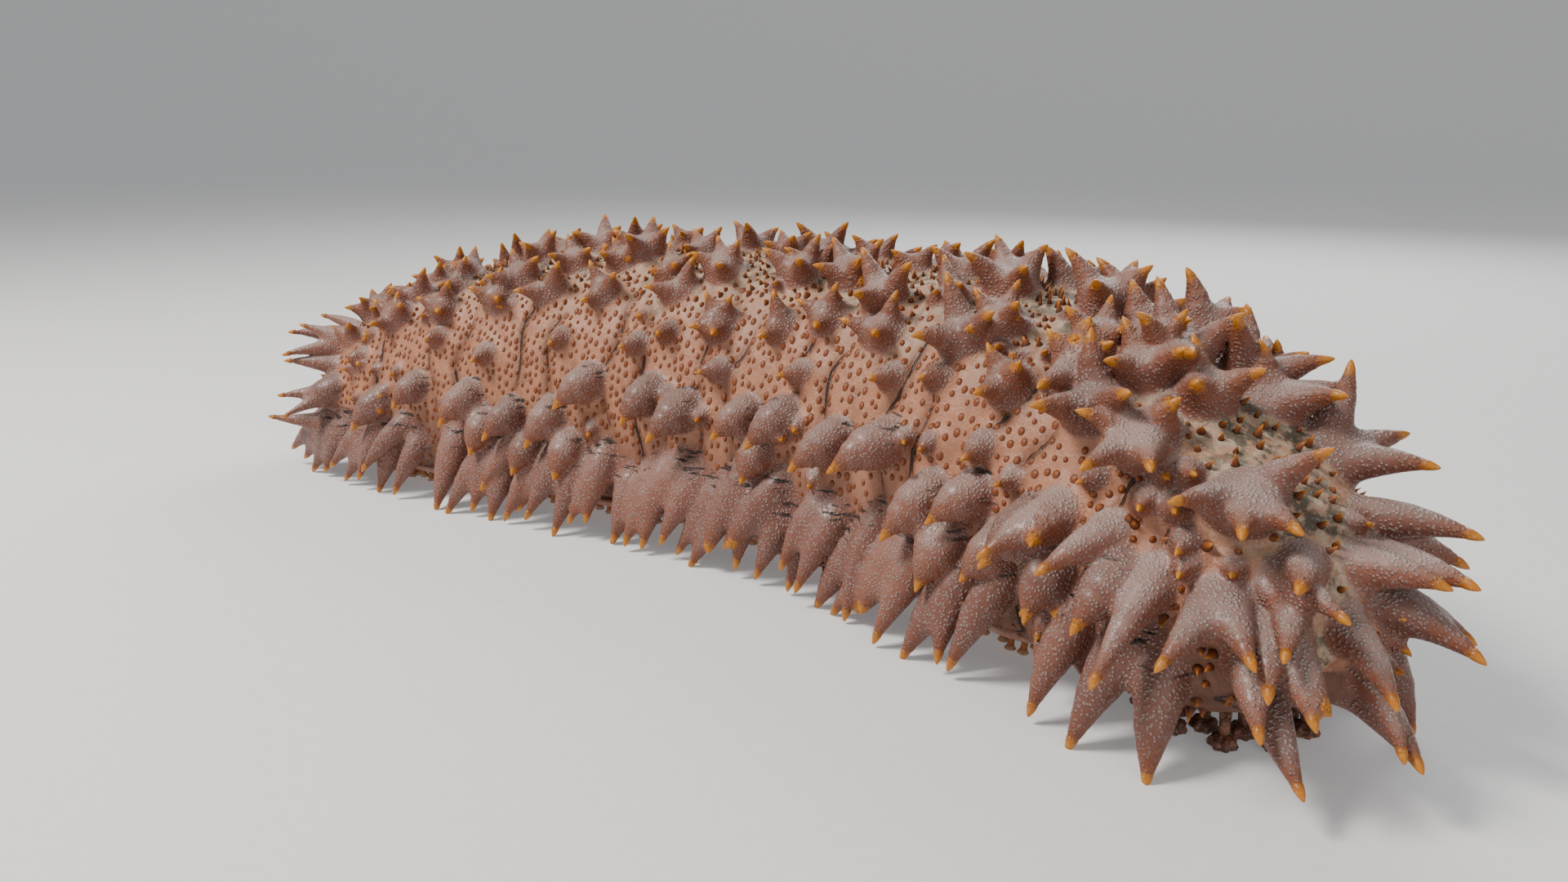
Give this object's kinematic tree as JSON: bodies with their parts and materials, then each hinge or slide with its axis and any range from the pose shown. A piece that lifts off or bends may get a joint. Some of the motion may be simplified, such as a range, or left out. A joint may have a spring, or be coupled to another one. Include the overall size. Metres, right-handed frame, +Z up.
{
  "type": "sea cucumber",
  "caption": "Stout, flat-bellied sea cucumber at rest, its back and sides covered in pointed, branching papillae, with tube feet below.",
  "frame": {"origin": "middle of the animal's bounding box, on the floor that it rests on", "axes": "+X from the tail end towards the head end, along the longest extent; +Y towards the animal's left, where its bend bulges; +Z up"},
  "size_m": [0.461, 0.1646, 0.1114],
  "materials": {
    "skin": "satin, wet, pinkish tan with brown dots and amber papilla tips",
    "sole": "soft satin, pinkish, with orange tube feet",
    "mouth": "satin, brown"
  },
  "bodies": {
    "root": {"tail_end": "skin", "body_rear": "skin", "body_middle": "skin", "body_front": "skin", "head_end": "skin", "sole_rear": "sole", "sole_middle": "sole", "sole_front": "sole", "mouth_tentacles": "mouth"}
  },
  "joints": []
}
